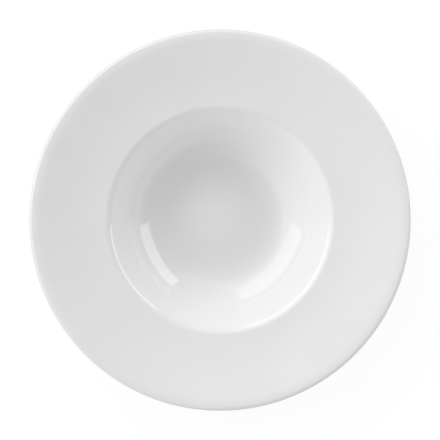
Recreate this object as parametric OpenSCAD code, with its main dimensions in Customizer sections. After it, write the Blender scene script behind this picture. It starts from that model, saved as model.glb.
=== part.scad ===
// Wide-rim pasta bowl: one pressed and fired porcelain body under a coat of glaze.
// Its finished outline is a chain of tangent arcs and lines, turned about Z.
// The body lies one glaze thickness inside that outline and reaches it only on the bare foot.
// Lengths are in millimetres and angles in degrees. Z = 0 is the surface the foot stands on.

/* [Rim] */
// Overall diameter, over the lip
rim_d = 280; // [256:1:320]
// Thickness of the rim
rim_t = 4.9; // [4.4:0.1:6]
// Slope of the rim's outer stretch, rising to the lip
rim_angle = 16; // [10:0.5:19]
// Slope of the rim where it leaves the shoulder
rim_start_angle = 6.5; // [3:0.5:9]
// Share of the rim's width over which it eases from its first slope to its outer one
ease_share = 0.59; // [0.3:0.01:0.8]
// Radius that eases the rim's top into the lip
lip_ease_r = 7; // [5:0.5:9]
// Slope of the lip's top where its tight round begins, falling outwards
lip_drop_angle = 34; // [26:1:40]

/* [Well] */
// Mouth diameter, at the inner side of the shoulder's round
well_d = 155; // [136:1:170]
// Depth, from the top of the shoulder to the lowest part of the floor
well_depth = 32.5; // [28:0.5:38]
// Thickness of the well's wall and floor
wall_t = 5; // [4:0.1:6]
// Slope of the wall's straight stretch, under the shoulder
wall_angle = 42.5; // [38:0.5:48]
// Radius of the shoulder, between the wall and the rim
shoulder_r = 9; // [6:0.5:12]
// Radius of the hollow under the shoulder
under_shoulder_r = 10; // [6:0.5:14]
// Radius of the wall's slack curve, under its straight stretch
wall_r = 81; // [65:1:95]
// Radius of the corner that turns the floor up into the wall
corner_r = 37; // [31:1:44]
// Slope of the corner where the wall takes over
corner_angle = 29; // [25:0.5:34]
// Radius of the shallow dish round the floor's crown
dish_r = 77; // [60:1:95]
// Slope of the dish where the corner takes over
dish_angle = 4; // [1:0.5:6]
// Radius of the crown in the middle of the floor
crown_r = 192; // [150:1:250]

/* [Foot] */
// Level distance from the corner's centre out to the foot ring's outer edge, where it stands
foot_reach = 14; // [12:0.5:16]
// Width of the foot ring, where it stands
foot_w = 4.5; // [3.5:0.1:6]
// Height of the recess inside the foot ring, where its ceiling is lowest
foot_h = 5; // [4.2:0.1:7]
// Draft of the foot ring's two flanks
foot_draft = 8; // [3:0.5:12]
// Radius of the foot ring's two lower edges
foot_edge_r = 1; // [0.6:0.1:1.4]
// Radius between the foot ring's flanks and the underside
foot_fillet_r = 2; // [1:0.1:2.4]

/* [Glaze] */
// Thickness of the glaze
glaze_t = 0.3; // [0.2:0.05:0.5]
// Height of the band of the foot ring that is wiped bare
bare_h = 1.5; // [1.3:0.1:1.8]
// Height over which the glaze thins out to that band
feather_h = 0.8; // [0.5:0.1:1]

/* [Hidden] */
// Most that an arc's chord may stray from the arc, and the least step of an outline
arc_sagitta = 0.01;
// Steps of a full turn, as drawn on the screen
$fn = 180;

rim_r = rim_d / 2;
well_r = well_d / 2;
floor_z = foot_h + wall_t;

function unit(angle) = [cos(angle), sin(angle)];
function angle_of(v) = atan2(v.y, v.x);

// Wall: from the shoulder down a straight line to the slack arc, and on round the corner to the dish.
// Each arc is tangent to the next, so the heights of their centres follow from the dish's floor.
shoulder_c = [well_r + shoulder_r, floor_z + well_depth - shoulder_r];
wall_top = shoulder_c + shoulder_r * unit(90 + wall_angle);
dish_z = floor_z + dish_r;
corner_z = dish_z + (corner_r - dish_r) * cos(dish_angle);
wall_z = corner_z + (wall_r - corner_r) * cos(corner_angle);
wall_run = (wall_top.y - wall_z + wall_r * cos(wall_angle)) / sin(wall_angle);
wall_c = wall_top - wall_run * unit(wall_angle) + wall_r * unit(90 + wall_angle);
corner_c = wall_c + (corner_r - wall_r) * unit(90 + corner_angle);
dish_c = corner_c + (dish_r - corner_r) * unit(90 + dish_angle);

// Floor: the crown is centred on the axis and touches the dish at crown_angle below level
crown_angle = asin(dish_c.x / (crown_r + dish_r));
crown_c = dish_c - (crown_r + dish_r) * unit(90 - crown_angle);

// Lip: an easing arc, then the tight round that brings the rim to its thickness
lip_turn = rim_angle + lip_drop_angle;
lip_r = (rim_t - lip_ease_r * (1 - cos(lip_turn))) / (1 + cos(lip_turn));
lip_start_x = rim_r - lip_r - (lip_ease_r - lip_r) * sin(lip_drop_angle) - lip_ease_r * sin(rim_angle);

// Rim: an easing arc that leaves the shoulder, then a straight stretch to the lip
rim_start = shoulder_c + shoulder_r * unit(90 + rim_start_angle);
rim_run = lip_start_x - rim_start.x;
rim_ease_r = ease_share * rim_run / (sin(rim_angle) - sin(rim_start_angle));
rim_ease_c = rim_start + rim_ease_r * unit(90 + rim_start_angle);
rim_ease_end = rim_ease_c + rim_ease_r * unit(rim_angle - 90);
lip_start = rim_ease_end + (1 - ease_share) * rim_run / cos(rim_angle) * unit(rim_angle);
lip_ease_c = lip_start - lip_ease_r * unit(90 + rim_angle);
lip_c = lip_ease_c + (lip_ease_r - lip_r) * unit(90 - lip_drop_angle);

// Centre of a fillet of radius r that touches a circle from outside, and a line through p along
// angle on the side of its normal: the first such place along the line
function fillet_centre(p, angle, normal, circle_c, circle_r, r) =
    let (
        start = p + r * unit(normal) - circle_c,
        along = start * unit(angle),
        run = -along - sqrt(along ^ 2 - start * start + (circle_r + r) ^ 2)
    )
    circle_c + start + run * unit(angle);

// Underside: the shell's outer circles, and the hollow under the shoulder
under_rim_r = rim_ease_r + rim_t;
under_wall_r = wall_r + wall_t;
under_corner_r = corner_r + wall_t;
under_wall_start = wall_c + under_wall_r * unit(wall_angle - 90);
under_shoulder_c = fillet_centre(under_wall_start, wall_angle, wall_angle - 90,
    rim_ease_c, under_rim_r, under_shoulder_r);

// Foot ring: each flank leans away from the ring's middle as it rises to its fillet
foot_outer = [corner_c.x + foot_reach, 0];
foot_inner = foot_outer - [foot_w, 0];
outer_fillet_c = fillet_centre(foot_outer, 90 - foot_draft, -foot_draft,
    corner_c, under_corner_r, foot_fillet_r);
inner_fillet_c = fillet_centre(foot_inner, 90 + foot_draft, 180 + foot_draft,
    corner_c, under_corner_r, foot_fillet_r);
foot_edge_run = foot_edge_r * (1 - sin(foot_draft)) / cos(foot_draft);
outer_edge_c = foot_outer + foot_edge_run * unit(90 - foot_draft) - foot_edge_r * unit(-foot_draft);
inner_edge_c = foot_inner + foot_edge_run * unit(90 + foot_draft) - foot_edge_r * unit(180 + foot_draft);

// The outline is a list of stations: a point of the finished surface, the normal that points out
// of the clay there, and the depth of glaze. An arc's side is 1 if its centre lies on the clay's
// side of the surface, and -1 if it lies on the air's side.
function station(point, normal, depth) = [point, unit(normal), depth];
function arc(c, r, from, to, side, depth = glaze_t) =
    let (steps = ceil(abs(to - from) / (2 * acos(1 - arc_sagitta / r))))
    [for (i = [0 : steps])
        let (u = unit(from + (to - from) * i / steps))
        [c + r * u, side * u, depth]];
// A place on a flank of the foot ring, at height h
function flank(p, angle, normal, h, depth) = station(p + h / sin(angle) * unit(angle), normal, depth);
// Drops each station that the one before it already covers
function welded(path) =
    [for (i = [0 : len(path) - 1])
        if (i == 0 || norm(path[i][0] - path[max(i - 1, 0)][0]) > arc_sagitta) path[i]];

// From the middle of the floor over the lip and down to the bare band of the foot ring
coated_top = concat(
    arc(crown_c, crown_r, 90, 90 - crown_angle, 1),
    arc(dish_c, dish_r, -90 - crown_angle, dish_angle - 90, -1),
    arc(corner_c, corner_r, dish_angle - 90, corner_angle - 90, -1),
    arc(wall_c, wall_r, corner_angle - 90, wall_angle - 90, -1),
    arc(shoulder_c, shoulder_r, 90 + wall_angle, 90 + rim_start_angle, 1),
    arc(rim_ease_c, rim_ease_r, rim_start_angle - 90, rim_angle - 90, -1));
coated_lip = concat(
    arc(lip_ease_c, lip_ease_r, 90 + rim_angle, 90 - lip_drop_angle, 1),
    arc(lip_c, lip_r, 90 - lip_drop_angle, rim_angle - 90, 1));
coated_underside = concat(
    arc(rim_ease_c, under_rim_r, rim_angle - 90, angle_of(under_shoulder_c - rim_ease_c), 1),
    arc(under_shoulder_c, under_shoulder_r,
        angle_of(rim_ease_c - under_shoulder_c), 90 + wall_angle, -1),
    arc(wall_c, under_wall_r, wall_angle - 90, corner_angle - 90, 1),
    arc(corner_c, under_corner_r, corner_angle - 90, angle_of(outer_fillet_c - corner_c), 1),
    arc(outer_fillet_c, foot_fillet_r, angle_of(corner_c - outer_fillet_c), 180 - foot_draft, -1),
    [flank(foot_outer, 90 - foot_draft, -foot_draft, bare_h + feather_h, glaze_t),
     flank(foot_outer, 90 - foot_draft, -foot_draft, bare_h, 0)]);
coated = welded(concat(coated_top, coated_lip, coated_underside));

// The bare band, round under the foot ring
bare = welded(concat(
    arc(outer_edge_c, foot_edge_r, -foot_draft, -90, 1, 0),
    arc(inner_edge_c, foot_edge_r, -90, foot_draft - 180, 1, 0)));

// From the bare band up into the recess and on to its middle
recess = welded(concat(
    [flank(foot_inner, 90 + foot_draft, 180 + foot_draft, bare_h, 0),
     flank(foot_inner, 90 + foot_draft, 180 + foot_draft, bare_h + feather_h, glaze_t)],
    arc(inner_fillet_c, foot_fillet_r, foot_draft, angle_of(corner_c - inner_fillet_c), -1),
    arc(corner_c, under_corner_r, angle_of(inner_fillet_c - corner_c), dish_angle - 90, 1),
    arc(dish_c, dish_r + wall_t, dish_angle - 90, -90 - crown_angle, 1),
    arc(crown_c, crown_r - wall_t, 90 - crown_angle, 90, -1)));

// Points of the finished surface, and of the clay under its glaze
function finished(path) = [for (s = path) s[0]];
function clay(path) = [for (s = path) s[0] - s[2] * s[1]];
function reversed(list) = [for (i = [len(list) - 1 : -1 : 0]) list[i]];
// Outline of a glaze coat: its surface, then back along the clay, less the places where they meet
function coat(path) = concat(finished(path), reversed([for (s = path) if (s[2] > 0) clay([s])[0]]));

// The pressed body: floor, wall, shoulder, rim, lip and foot ring in one piece of clay
module porcelain_body() {
    color("linen")
        rotate_extrude()
            polygon(concat(clay(coated), clay(bare), clay(recess)));
}

// The coat over all that shows from above and outside, down to the bare band of the foot ring
module glaze_coat() {
    color("white")
        rotate_extrude()
            polygon(coat(coated));
}

// The coat inside the foot ring, cut off from the other by the bare band
module recess_glaze() {
    color("white")
        rotate_extrude()
            polygon(coat(recess));
}

porcelain_body();
glaze_coat();
recess_glaze();
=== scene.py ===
"""Looks of a wide-rim porcelain pasta bowl: gloss white glaze over a pressed body, on a pale floor.

The glaze is turned here on a finer mesh than the frame's, from the same driving sizes, so that its
reflections run smooth. Only its shoulder and the outer side of its lip are rounder than the frame's.
The clay body stays as the frame has it, and shows on the wiped foot ring.
Lengths are in metres and angles in degrees, and Z = 0 is the surface that the foot stands on.
"""
import math

import bpy
import numpy as np
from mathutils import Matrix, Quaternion, Vector


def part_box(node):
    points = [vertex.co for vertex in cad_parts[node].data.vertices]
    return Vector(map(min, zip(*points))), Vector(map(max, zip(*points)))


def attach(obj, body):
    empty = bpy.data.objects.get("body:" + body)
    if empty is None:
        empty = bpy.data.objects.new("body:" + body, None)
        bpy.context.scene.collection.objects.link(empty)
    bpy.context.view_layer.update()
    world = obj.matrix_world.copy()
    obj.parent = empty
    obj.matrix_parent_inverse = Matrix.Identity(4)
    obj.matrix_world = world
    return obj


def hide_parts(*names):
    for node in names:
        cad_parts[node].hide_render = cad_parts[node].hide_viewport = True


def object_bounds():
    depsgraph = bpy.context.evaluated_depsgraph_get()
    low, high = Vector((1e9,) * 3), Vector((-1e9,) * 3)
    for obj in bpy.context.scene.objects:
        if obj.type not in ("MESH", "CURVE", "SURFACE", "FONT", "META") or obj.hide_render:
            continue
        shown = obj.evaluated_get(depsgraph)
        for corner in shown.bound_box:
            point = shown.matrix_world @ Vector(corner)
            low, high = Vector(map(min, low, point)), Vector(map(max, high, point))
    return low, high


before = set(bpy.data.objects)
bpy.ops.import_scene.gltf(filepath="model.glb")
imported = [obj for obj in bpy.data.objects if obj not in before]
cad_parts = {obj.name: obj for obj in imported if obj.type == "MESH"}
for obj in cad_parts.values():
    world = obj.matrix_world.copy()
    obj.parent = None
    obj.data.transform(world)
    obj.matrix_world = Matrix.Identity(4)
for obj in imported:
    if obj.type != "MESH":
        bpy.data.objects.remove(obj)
cad_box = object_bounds()

# Rim
RIM_D = 0.28
RIM_T = 0.0049
RIM_ANGLE = 16
RIM_START_ANGLE = 6.5
EASE_SHARE = 0.59
LIP_EASE_R = 0.007
LIP_DROP_ANGLE = 34

# Well
WELL_D = 0.155
WELL_DEPTH = 0.0325
WALL_T = 0.005
WALL_ANGLE = 42.5
SHOULDER_R = 0.009
UNDER_SHOULDER_R = 0.01
WALL_R = 0.081
CORNER_R = 0.037
CORNER_ANGLE = 29
DISH_R = 0.077
DISH_ANGLE = 4
CROWN_R = 0.192

# Foot
FOOT_REACH = 0.014
FOOT_W = 0.0045
FOOT_H = 0.005
FOOT_DRAFT = 8
FOOT_FILLET_R = 0.002

# Glaze
GLAZE_T = 0.0003
BARE_H = 0.0015
FEATHER_H = 0.0008

# The glaze's edge on the foot was wiped by hand, so it wavers up and down the flank. Each wave has its
# count round the foot, its share of the height and its phase in radians.
WIPE_WOBBLE = 0.00012
WIPE_WAVES = ((3, 0.6, 1), (7, 0.3, 2), (16, 0.3, 0))

# The lip of the clay, and the lip as the glaze rounds it off, where the crest runs further out.
# Each arc has its radius and the drop that it ends at, and a nose closes the rim's thickness.
CLAY_LIP = ((LIP_EASE_R, LIP_DROP_ANGLE),)
GLAZE_LIP = ((0.0196, 0), (0.003, 60))

# The glaze runs thin over the shoulder: it leaves the wall in a slack arc, down to a slope, and then
# turns tighter onto the rim
SLACK_SHOULDER_R = 0.018
SLACK_SHOULDER_ANGLE = 28
TIGHT_SHOULDER_R = 0.006

# Fineness of the turned mesh
TURN_STEPS = 192
ARC_STEP_ANGLE = 2.5
PATH_STEP = 0.0016
# A stretch is split only where it is longer than its steps by more than this share of a step
STEP_SLACK = 0.01

# How far a coat's box may lie from its node's, beyond the wobble
FIT_TOLERANCE = 0.00005


def unit(angle):
    """Unit vector at an angle, in the plane of radius and height."""
    return Vector((math.cos(math.radians(angle)), math.sin(math.radians(angle))))


def angle_of(v):
    return math.degrees(math.atan2(v.y, v.x))


def fillet_centre(p, angle, normal, circle_c, circle_r, r):
    """Centre of a fillet that touches a circle from outside, and the line through p along angle."""
    start = p + r * unit(normal) - circle_c
    along = start.dot(unit(angle))
    run = -along - math.sqrt(along**2 - start.dot(start) + (circle_r + r) ** 2)
    return circle_c + start + run * unit(angle)


def arc(centre, r, start, end, side):
    """Stations along an arc: a point, the normal out of the clay, and the depth of glaze."""
    turn = end - start
    steps = math.ceil(max(abs(turn) / ARC_STEP_ANGLE, abs(math.radians(turn)) * r / PATH_STEP, 1))
    spokes = [unit(start + turn * i / steps) for i in range(steps + 1)]
    return [(centre + r * u, side * u, GLAZE_T) for u in spokes]


def flank(p, angle, normal, height, depth):
    """A station on a flank of the foot ring, at a height above its foot p."""
    return (p + height / math.sin(math.radians(angle)) * unit(angle), unit(normal), depth)


def filled(path):
    """The path without doubled stations, and with more of them along its straight stretches."""
    out = [path[0]]
    for point, normal, depth in path[1:]:
        last, last_normal, last_depth = out[-1]
        steps = math.ceil((point - last).length / PATH_STEP - STEP_SLACK)
        for i in range(1, steps + 1):
            t = i / steps
            between = last_depth + t * (depth - last_depth)
            out.append((last.lerp(point, t), last_normal.lerp(normal, t), between))
    return out


def lip_sizes(eased):
    """The radius of a lip's nose, and how far from the axis its first arc starts."""
    thickness = RIM_T
    reach = RIM_D / 2
    last_drop = -RIM_ANGLE
    for r, drop in eased:
        thickness -= r * (unit(RIM_ANGLE + last_drop).x - unit(RIM_ANGLE + drop).x)
        reach -= r * (unit(drop).y - unit(last_drop).y)
        last_drop = drop
    nose_r = thickness / (1 + unit(RIM_ANGLE + last_drop).x)
    return nose_r, reach - nose_r * (1 - unit(last_drop).y)


def lip(rim_point, eased):
    """Stations of a lip that leaves the rim's straight stretch, through rim_point, and rounds under it."""
    nose_r, start_x = lip_sizes(eased)
    point = rim_point + (start_x - rim_point.x) / unit(RIM_ANGLE).x * unit(RIM_ANGLE)
    last_drop = -RIM_ANGLE
    stations = []
    for r, drop in (*eased, (nose_r, 180 - RIM_ANGLE)):
        stations += arc(point - r * unit(90 - last_drop), r, 90 - last_drop, 90 - drop, 1)
        point, last_drop = stations[-1][0], drop
    return stations


def glaze_paths():
    """Stations of the two areas of glaze, each with its outer side and the side on the clay.

    The first runs from the floor's middle over the lip to the foot, and the second fills the recess.
    """
    floor_z = FOOT_H + WALL_T
    shoulder_c = Vector((WELL_D / 2 + SHOULDER_R, floor_z + WELL_DEPTH - SHOULDER_R))
    wall_top = shoulder_c + SHOULDER_R * unit(90 + WALL_ANGLE)
    corner_z = floor_z + DISH_R + (CORNER_R - DISH_R) * unit(DISH_ANGLE).x
    wall_z = corner_z + (WALL_R - CORNER_R) * unit(CORNER_ANGLE).x
    wall_run = (wall_top.y - wall_z + WALL_R * unit(WALL_ANGLE).x) / unit(WALL_ANGLE).y
    wall_c = wall_top - wall_run * unit(WALL_ANGLE) + WALL_R * unit(90 + WALL_ANGLE)
    corner_c = wall_c + (CORNER_R - WALL_R) * unit(90 + CORNER_ANGLE)
    dish_c = corner_c + (DISH_R - CORNER_R) * unit(90 + DISH_ANGLE)
    crown_angle = math.degrees(math.asin(dish_c.x / (CROWN_R + DISH_R)))
    crown_c = dish_c - (CROWN_R + DISH_R) * unit(90 - crown_angle)

    rim_start = shoulder_c + SHOULDER_R * unit(90 + RIM_START_ANGLE)
    rim_run = lip_sizes(CLAY_LIP)[1] - rim_start.x
    ease_r = EASE_SHARE * rim_run / (unit(RIM_ANGLE).y - unit(RIM_START_ANGLE).y)
    ease_c = rim_start + ease_r * unit(90 + RIM_START_ANGLE)
    ease_end = ease_c + ease_r * unit(RIM_ANGLE - 90)

    # The tight arc touches the rim's easing, and the slack arc joins it to the wall's straight stretch
    slack = SLACK_SHOULDER_R - TIGHT_SHOULDER_R
    slack_end = unit(90 + SLACK_SHOULDER_ANGLE)
    tight_c = fillet_centre(
        wall_top + slack * (unit(WALL_ANGLE - 90) + slack_end),
        WALL_ANGLE, WALL_ANGLE - 90, ease_c, ease_r, TIGHT_SHOULDER_R)
    slack_c = tight_c - slack * slack_end

    under_rim_r = ease_r + RIM_T
    under_wall_r = WALL_R + WALL_T
    under_corner_r = CORNER_R + WALL_T
    under_wall = wall_c + under_wall_r * unit(WALL_ANGLE - 90)
    under_shoulder_c = fillet_centre(
        under_wall, WALL_ANGLE, WALL_ANGLE - 90, ease_c, under_rim_r, UNDER_SHOULDER_R)
    foot_outer = Vector((corner_c.x + FOOT_REACH, 0))
    foot_inner = foot_outer - Vector((FOOT_W, 0))
    outer_fillet_c = fillet_centre(
        foot_outer, 90 - FOOT_DRAFT, -FOOT_DRAFT, corner_c, under_corner_r, FOOT_FILLET_R)
    inner_fillet_c = fillet_centre(
        foot_inner, 90 + FOOT_DRAFT, 180 + FOOT_DRAFT, corner_c, under_corner_r, FOOT_FILLET_R)

    well = (
        arc(crown_c, CROWN_R, 90, 90 - crown_angle, 1)
        + arc(dish_c, DISH_R, -90 - crown_angle, DISH_ANGLE - 90, -1)
        + arc(corner_c, CORNER_R, DISH_ANGLE - 90, CORNER_ANGLE - 90, -1)
        + arc(wall_c, WALL_R, CORNER_ANGLE - 90, WALL_ANGLE - 90, -1)
    )
    clay_rim = (
        arc(shoulder_c, SHOULDER_R, 90 + WALL_ANGLE, 90 + RIM_START_ANGLE, 1)
        + arc(ease_c, ease_r, RIM_START_ANGLE - 90, RIM_ANGLE - 90, -1)
        + lip(ease_end, CLAY_LIP)
    )
    glaze_rim = (
        arc(slack_c, SLACK_SHOULDER_R, 90 + WALL_ANGLE, 90 + SLACK_SHOULDER_ANGLE, 1)
        + arc(tight_c, TIGHT_SHOULDER_R, 90 + SLACK_SHOULDER_ANGLE, angle_of(ease_c - tight_c), 1)
        + arc(ease_c, ease_r, angle_of(tight_c - ease_c), RIM_ANGLE - 90, -1)
        + lip(ease_end, GLAZE_LIP)
    )
    underside = (
        arc(ease_c, under_rim_r, RIM_ANGLE - 90, angle_of(under_shoulder_c - ease_c), 1)
        + arc(under_shoulder_c, UNDER_SHOULDER_R, angle_of(ease_c - under_shoulder_c), 90 + WALL_ANGLE, -1)
        + arc(wall_c, under_wall_r, WALL_ANGLE - 90, CORNER_ANGLE - 90, 1)
        + arc(corner_c, under_corner_r, CORNER_ANGLE - 90, angle_of(outer_fillet_c - corner_c), 1)
        + arc(outer_fillet_c, FOOT_FILLET_R, angle_of(corner_c - outer_fillet_c), 180 - FOOT_DRAFT, -1)
        + [flank(foot_outer, 90 - FOOT_DRAFT, -FOOT_DRAFT, BARE_H + FEATHER_H, GLAZE_T),
           flank(foot_outer, 90 - FOOT_DRAFT, -FOOT_DRAFT, BARE_H, 0)]
    )
    recess = (
        arc(crown_c, CROWN_R - WALL_T, 90, 90 - crown_angle, -1)
        + arc(dish_c, DISH_R + WALL_T, -90 - crown_angle, DISH_ANGLE - 90, 1)
        + arc(corner_c, under_corner_r, DISH_ANGLE - 90, angle_of(inner_fillet_c - corner_c), 1)
        + arc(inner_fillet_c, FOOT_FILLET_R, angle_of(corner_c - inner_fillet_c), FOOT_DRAFT, -1)
        + [flank(foot_inner, 90 + FOOT_DRAFT, 180 + FOOT_DRAFT, BARE_H + FEATHER_H, GLAZE_T),
           flank(foot_inner, 90 + FOOT_DRAFT, 180 + FOOT_DRAFT, BARE_H, 0)]
    )
    coat = (filled(well + glaze_rim + underside), filled(well + clay_rim + underside))
    return coat, (filled(recess), filled(recess))


def turned(name, outer, inner):
    """A closed coat of glaze: out along its surface and back to the axis on the clay, turned about Z."""
    surface = [p for p, n, depth in outer]
    clay = [p - depth * n for p, n, depth in inner[:-1]]
    outline = surface + clay[::-1]
    rings = np.array(outline[1:-1])
    turn = np.arange(TURN_STEPS) * math.tau / TURN_STEPS
    wobble = WIPE_WOBBLE * sum(share * np.sin(waves * turn + phase) for waves, share, phase in WIPE_WAVES)
    # The ring of the wiped edge, counted without the pole that starts the outline
    edge = len(surface) - 2
    heights = np.repeat(rings[:, 1:], TURN_STEPS, 1)
    radii = np.repeat(rings[:, :1], TURN_STEPS, 1)
    heights[edge] += wobble
    radii[edge] += wobble * (rings[edge, 0] - rings[edge - 1, 0]) / (rings[edge, 1] - rings[edge - 1, 1])
    points = np.stack([radii * np.cos(turn), radii * np.sin(turn), heights], 2).reshape(-1, 3)
    count = len(points)
    poles = [(0, 0, outline[0].y), (0, 0, outline[-1].y)]

    this = np.arange(TURN_STEPS)
    following = (this + 1) % TURN_STEPS
    faces = []
    for k in range(len(rings) - 1):
        a, b = k * TURN_STEPS, (k + 1) * TURN_STEPS
        faces += np.stack([a + this, b + this, b + following, a + following], 1).tolist()
    last = (len(rings) - 1) * TURN_STEPS
    faces += [[count, i, j] for i, j in zip(this.tolist(), following.tolist())]
    faces += [[count + 1, last + j, last + i] for i, j in zip(this.tolist(), following.tolist())]

    mesh = bpy.data.meshes.new(name)
    mesh.from_pydata(points.tolist() + poles, [], faces)
    # In the recess the path starts on a side that faces down, which turns the faces inside out
    if outer[0][1].y < 0:
        mesh.flip_normals()
    mesh.shade_smooth()
    sharp = mesh.attributes.new("sharp_edge", "BOOLEAN", "EDGE")
    ends = np.empty(len(mesh.edges) * 2, int)
    mesh.edges.foreach_get("vertices", ends)
    sharp.data.foreach_set("value", (ends.reshape(-1, 2) // TURN_STEPS == edge).all(1))
    piece = bpy.data.objects.new(name, mesh)
    bpy.context.scene.collection.objects.link(piece)
    return piece


def check_fit(piece, node):
    """Stops if a turned coat isn't where its node is."""
    own = np.array([v.co for v in piece.data.vertices])
    low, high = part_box(node)
    apart = max(np.abs(own.min(0) - low).max(), np.abs(own.max(0) - high).max())
    if apart > FIT_TOLERANCE + WIPE_WOBBLE:
        raise ValueError(f"{piece.name} lies {apart * 1000:.2f} mm from {node}")


# Materials

# Colours in linear light: the white glaze, its faint clouds, the glaze where it thins out on the foot,
# a grey painted shade round the lip's outermost edge, and the bare clay
GLAZE_WHITE = (0.82, 0.82, 0.815)
GLAZE_SHADE = (0.805, 0.806, 0.805)
GLAZE_THIN = (0.80, 0.785, 0.75)
GLAZE_EDGE_PAINTED_SHADE = (0.67, 0.67, 0.665)
CLAY_PALE = (0.83, 0.81, 0.77)
CLAY_DARK = (0.74, 0.715, 0.67)

# Detail of the glaze. A range is the stretch of a noise that a change is spread over.
GLAZE_IOR = 1.5
GLAZE_ROUGHNESS = (0.05, 0.09)
GLOSS_PER_M = 60
GLOSS_RANGE = (0.3, 0.7)
CLOUDS_PER_M = 22
CLOUD_RANGE = (0.35, 0.65)
# Width of the grey painted shade round the lip's outermost edge
LIP_PAINTED_SHADE_W = 0.0009
PINHOLES_PER_M = 55
PINHOLE_R = 0.00025
# Only cells with a random shade above these have a pinhole
PINHOLE_SHADES = (0.78, 0.8)
FLOW_PER_M = 70
FLOW_H = 0.000012
PEEL_PER_M = 900
PEEL_H = 0.0000003

# Detail of the bare clay
CLAY_ROUGHNESS = (0.75, 0.92)
STAINS_PER_M = 90
STAIN_RANGE = (0.35, 0.7)
GRAIN_PER_M = 3200
GRAIN_H = 0.00003
GRAIN_RANGE = (0.3, 0.7)
DARK_GRAIN_RANGE = (0.45, 0.75)
DARK_GRAIN_SHARE = 0.35


class Graph:
    """The nodes of a new material or world, with short calls to add and link them."""

    def __init__(self, owner):
        owner.use_nodes = True
        self.tree = owner.node_tree
        self.shader = self.tree.nodes.get("Principled BSDF")
        is_world = isinstance(owner, bpy.types.World)
        self.place = self.node("ShaderNodeTexCoord").outputs["Generated" if is_world else "Object"]

    def node(self, kind, settings=None, **inputs):
        """A node of that kind. An input is a value or another node's output; _ stands for a space."""
        made = self.tree.nodes.new(kind)
        for key, value in (settings or {}).items():
            setattr(made, key, value)
        for key, value in inputs.items():
            self.feed(made.inputs[key.replace("_", " ")], value)
        return made

    def feed(self, socket, value):
        if isinstance(value, bpy.types.NodeSocket):
            self.tree.links.new(value, socket)
        else:
            socket.default_value = value

    def noise(self, scale, detail=2):
        """Soft noise whose lumps are about 1 / scale metres across."""
        return self.node("ShaderNodeTexNoise", Vector=self.place, Scale=scale, Detail=detail).outputs["Fac"]

    def math(self, operation, first, second):
        made = self.node("ShaderNodeMath", {"operation": operation})
        self.feed(made.inputs[0], first)
        self.feed(made.inputs[1], second)
        return made.outputs[0]

    def ramp(self, value, low, high, to_low=0.0, to_high=1.0, course="LINEAR"):
        """The value, spread from low..high to to_low..to_high and held there."""
        made = self.node("ShaderNodeMapRange", {"interpolation_type": course}, Value=value)
        for key, number in zip(("From Min", "From Max", "To Min", "To Max"), (low, high, to_low, to_high)):
            made.inputs[key].default_value = number
        return made.outputs["Result"]

    def mix(self, share, first, second):
        """Two colours mixed by a share from 0 to 1."""
        made = self.node("ShaderNodeMix", {"data_type": "RGBA"})
        # The node's sockets for colours: the factor, A and B, and the result
        for key, value in zip((0, 6, 7), (share, first, second)):
            is_colour = isinstance(value, tuple) and len(value) == 3
            self.feed(made.inputs[key], (*value, 1) if is_colour else value)
        return made.outputs[2]

    def blend(self, share, first, second):
        """Two shaders mixed by a share from 0 to 1."""
        made = self.node("ShaderNodeMixShader", Fac=share)
        self.feed(made.inputs[1], first)
        self.feed(made.inputs[2], second)
        return made.outputs[0]

    def bump(self, height, distance, under=None):
        """A bump of that height in metres, laid over another."""
        made = self.node("ShaderNodeBump", Height=height, Distance=distance)
        if under is not None:
            self.feed(made.inputs["Normal"], under)
        return made.outputs["Normal"]


def glaze_material():
    """Gloss white glaze: faintly clouded, softly uneven as it flowed, with a few pinholes.

    It has a grey painted shade round the lip's outermost edge, and is warmer where it feathers out on the
    foot.
    """
    material = bpy.data.materials.new("glaze")
    g = Graph(material)
    clouds = g.mix(g.ramp(g.noise(CLOUDS_PER_M, 3), *CLOUD_RANGE), GLAZE_WHITE, GLAZE_SHADE)

    cells = g.node("ShaderNodeTexVoronoi", Vector=g.place, Scale=PINHOLES_PER_M)
    shade = g.node("ShaderNodeSeparateColor", Color=cells.outputs["Color"]).outputs["Red"]
    chosen = g.ramp(shade, *PINHOLE_SHADES)
    spot = g.ramp(cells.outputs["Distance"], PINHOLE_R * PINHOLES_PER_M, 0)
    spotted = g.mix(g.math("MULTIPLY", chosen, spot), clouds, CLAY_DARK)

    height = g.node("ShaderNodeSeparateXYZ", Vector=g.place).outputs["Z"]
    thinness = g.ramp(height, BARE_H, BARE_H + FEATHER_H, 1, 0)
    feathered = g.mix(thinness, spotted, GLAZE_THIN)

    # The distance from the axis, which is greatest round the lip's edge
    level = g.node("ShaderNodeVectorMath", {"operation": "MULTIPLY"})
    g.feed(level.inputs[0], g.place)
    g.feed(level.inputs[1], (1, 1, 0))
    reach = g.node("ShaderNodeVectorMath", {"operation": "LENGTH"}, Vector=level.outputs["Vector"])
    # Painted shade: the glaze colour goes grey over the lip's outermost edge, where the rim turns down into
    # shade
    edge = g.ramp(reach.outputs["Value"], RIM_D / 2 - LIP_PAINTED_SHADE_W, RIM_D / 2 - LIP_PAINTED_SHADE_W / 2)
    g.feed(g.shader.inputs["Base Color"], g.mix(edge, feathered, GLAZE_EDGE_PAINTED_SHADE))

    gloss = g.ramp(g.noise(GLOSS_PER_M), *GLOSS_RANGE, *GLAZE_ROUGHNESS)
    g.feed(g.shader.inputs["Roughness"], gloss)
    flow = g.bump(g.noise(FLOW_PER_M, 1), FLOW_H)
    peel = g.bump(g.noise(PEEL_PER_M), PEEL_H, flow)
    g.feed(g.shader.inputs["Normal"], peel)
    g.shader.inputs["IOR"].default_value = GLAZE_IOR
    return material


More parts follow.
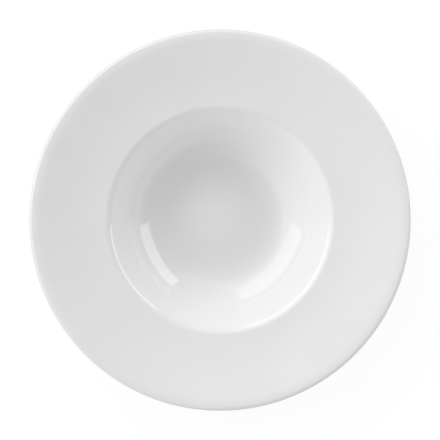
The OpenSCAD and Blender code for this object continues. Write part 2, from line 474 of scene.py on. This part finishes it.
def bisque_material():
    """Bare fired porcelain: matt, off-white and finely grained."""
    material = bpy.data.materials.new("bisque")
    g = Graph(material)
    grain = g.noise(GRAIN_PER_M, 4)
    stains = g.mix(g.ramp(g.noise(STAINS_PER_M, 4), *STAIN_RANGE), CLAY_PALE, CLAY_DARK)
    dark_grain = g.ramp(grain, *DARK_GRAIN_RANGE, 0, DARK_GRAIN_SHARE)
    g.feed(g.shader.inputs["Base Color"], g.mix(dark_grain, stains, CLAY_DARK))
    g.feed(g.shader.inputs["Roughness"], g.ramp(grain, *GRAIN_RANGE, *CLAY_ROUGHNESS))
    g.feed(g.shader.inputs["Normal"], g.bump(grain, GRAIN_H))
    return material


# The object's pieces
glaze = glaze_material()
for name, node, paths in zip(("glaze", "recess_coat"), ("glaze_coat", "recess_glaze"), glaze_paths()):
    coat = turned(name, *paths)
    check_fit(coat, node)
    coat.data.materials.append(glaze)
    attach(coat, "root")
    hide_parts(node)

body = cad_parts["porcelain_body"]
body.data.materials.clear()
body.data.materials.append(bisque_material())

# Floor: pale, and white to the eye and in mirrors but for the soft shadow that the bowl keeps on it.
# What is seen is FLOOR_GLOW and SHADOW_SHARE of the lit floor.
FLOOR_SIZE = 12.0
FLOOR_COLOUR = (0.7, 0.7, 0.7, 1)
SHADOW_SHARE = 0.3
FLOOR_GLOW = 0.84

# Light tent: its level from each elevation up, and how far that leans towards TENT_AZIMUTH.
# Azimuths are counter-clockwise from +X, seen from above.
TENT = (
    dict(elevation=0, level=1.26, lean=0),
    dict(elevation=16.5, level=1.04, lean=0.89),
    dict(elevation=45, level=0.5, lean=0),
)
TENT_AZIMUTH = 162
TENT_SOFTNESS = 5

# Softboxes that the glaze mirrors
LIGHT_DISTANCE = 1.5
KEY = dict(azimuth=139, elevation=25.2, width=1.96, height=0.49, roll=0, radiance=1.58)
SECOND = dict(azimuth=29, elevation=24, width=1.33, height=0.335, roll=-2.3, radiance=3.2)

# Camera: straight above, with the bowl's rim as wide in the frame as in the photograph
CAMERA_ABOVE_LIP = 1.7
SENSOR_MM = 36
PHOTO_PX = 440
PHOTO_RIM_RADIUS_PX = 191


def add_floor():
    half = FLOOR_SIZE / 2
    mesh = bpy.data.meshes.new("floor")
    corners = [(-half, -half, 0), (half, -half, 0), (half, half, 0), (-half, half, 0)]
    mesh.from_pydata(corners, [], [(0, 1, 2, 3)])
    floor = bpy.data.objects.new("floor", mesh)
    bpy.context.scene.collection.objects.link(floor)
    material = bpy.data.materials.new("floor")
    mesh.materials.append(material)
    g = Graph(material)
    path = g.node("ShaderNodeLightPath").outputs
    reflected = g.math("MAXIMUM", path["Is Glossy Ray"], path["Is Transmission Ray"])
    seen = g.math("MAXIMUM", path["Is Camera Ray"], reflected)
    lit = g.node("ShaderNodeBsdfDiffuse", Color=FLOOR_COLOUR).outputs[0]
    glow = g.node("ShaderNodeEmission", Strength=FLOOR_GLOW / (1 - SHADOW_SHARE)).outputs[0]
    pale = g.blend(SHADOW_SHARE, glow, lit)
    g.feed(g.tree.nodes["Material Output"].inputs["Surface"], g.blend(seen, lit, pale))
    g.tree.nodes.remove(g.shader)


def add_world():
    world = bpy.data.worlds.new("studio")
    bpy.context.scene.world = world
    g = Graph(world)
    height = g.node("ShaderNodeSeparateXYZ", Vector=g.place).outputs["Z"]
    side = g.node("ShaderNodeVectorMath", {"operation": "DOT_PRODUCT"})
    g.feed(side.inputs[0], g.place)
    g.feed(side.inputs[1], (*unit(TENT_AZIMUTH), 0))
    total = 0.0
    for band in TENT:
        edge = [unit(band["elevation"] + s * TENT_SOFTNESS).y for s in (-1, 1)]
        share = g.ramp(height, *edge, course="SMOOTHSTEP")
        spread = band["level"] * band["lean"]
        level = g.math("ADD", g.math("MULTIPLY", side.outputs["Value"], spread), band["level"])
        made = g.node("ShaderNodeMix", Factor=share)
        # The node's sockets for plain values: A and B, and the result
        g.feed(made.inputs[2], total)
        g.feed(made.inputs[3], level)
        total = made.outputs[0]
    g.feed(g.tree.nodes["Background"].inputs["Strength"], total)
    g.tree.nodes["Background"].inputs["Color"].default_value = (1, 1, 1, 1)


def add_softbox(name, azimuth, elevation, width, height, roll, radiance):
    """A square-cornered softbox that faces the bowl, turned on its stand by a roll."""
    lamp = bpy.data.lights.new(name, "AREA")
    lamp.shape = "RECTANGLE"
    lamp.size = width
    lamp.size_y = height
    lamp.energy = radiance * math.pi * width * height
    box = bpy.data.objects.new(name, lamp)
    a, e = math.radians(azimuth), math.radians(elevation)
    towards = Vector((math.cos(a) * math.cos(e), math.sin(a) * math.cos(e), math.sin(e)))
    box.location = towards * LIGHT_DISTANCE
    box.rotation_mode = "QUATERNION"
    rolled = Quaternion((0, 0, 1), math.radians(roll))
    box.rotation_quaternion = towards.to_track_quat("Z", "Y") @ rolled
    box.visible_camera = False
    bpy.context.scene.collection.objects.link(box)


def add_camera():
    data = bpy.data.cameras.new("camera")
    data.sensor_width = SENSOR_MM
    frame_width = RIM_D / 2 * PHOTO_PX / PHOTO_RIM_RADIUS_PX
    data.lens = SENSOR_MM * CAMERA_ABOVE_LIP / frame_width
    camera = bpy.data.objects.new("camera", data)
    camera.location = (0, 0, cad_box[1].z + CAMERA_ABOVE_LIP)
    bpy.context.scene.collection.objects.link(camera)
    bpy.context.scene.camera = camera


add_floor()
add_world()
add_softbox("key", **KEY)
add_softbox("second", **SECOND)
add_camera()
bpy.context.scene.view_settings.view_transform = "Standard"
